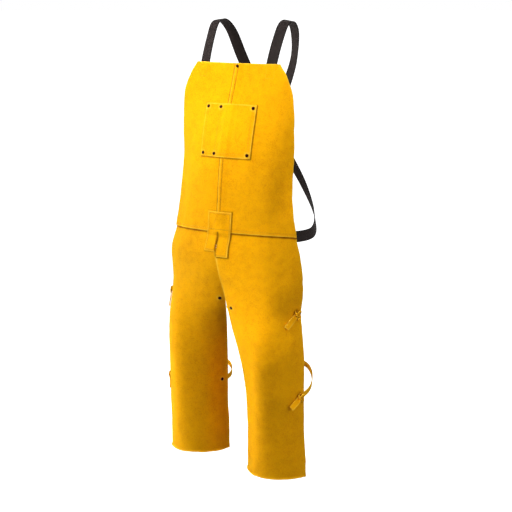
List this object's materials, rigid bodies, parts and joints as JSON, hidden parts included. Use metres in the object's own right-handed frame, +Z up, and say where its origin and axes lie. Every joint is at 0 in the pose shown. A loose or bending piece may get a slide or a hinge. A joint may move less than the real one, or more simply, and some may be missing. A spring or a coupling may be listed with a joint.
{
  "type": "split_leg_bib_apron",
  "caption": "Worn split leg bib apron of golden split cowhide with chest pocket, crossed webbing shoulder straps, leather leg ties and rivets; open behind.",
  "frame": {"origin": "midway between the places where the two straps lie on the shoulders", "axes": "+Z is up, the front of the apron faces -Y and +X is the wearer's left"},
  "size_m": [0.466, 0.3137, 1.294],
  "materials": {
    "leather": "golden split cowhide with a short suede nap, matt",
    "tie_leather": "golden split cowhide lace, matt",
    "webbing": "dark brown woven webbing, matt",
    "rivet_metal": "dark oxidised dome, half gloss"
  },
  "bodies": {
    "root": {"bib_right": "leather", "bib_left": "leather", "chest_pocket": "leather", "fly_patch": "leather", "rivet_top": "rivet_metal", "rivet_pocket_1": "rivet_metal", "rivet_pocket_2": "rivet_metal", "rivet_pocket_3": "rivet_metal", "rivet_pocket_4": "rivet_metal", "rivet_pocket_5": "rivet_metal", "rivet_pocket_6": "rivet_metal", "leg_right": "leather", "strap_right": "webbing", "tie_right_upper": "tie_leather", "rivet_tie_right_upper": "rivet_metal", "tie_right_lower": "tie_leather", "rivet_tie_right_lower": "rivet_metal", "leg_left": "leather", "strap_left": "webbing", "tie_left_upper": "tie_leather", "rivet_tie_left_upper": "rivet_metal", "tie_left_lower": "tie_leather", "rivet_tie_left_lower": "rivet_metal"}
  },
  "joints": []
}
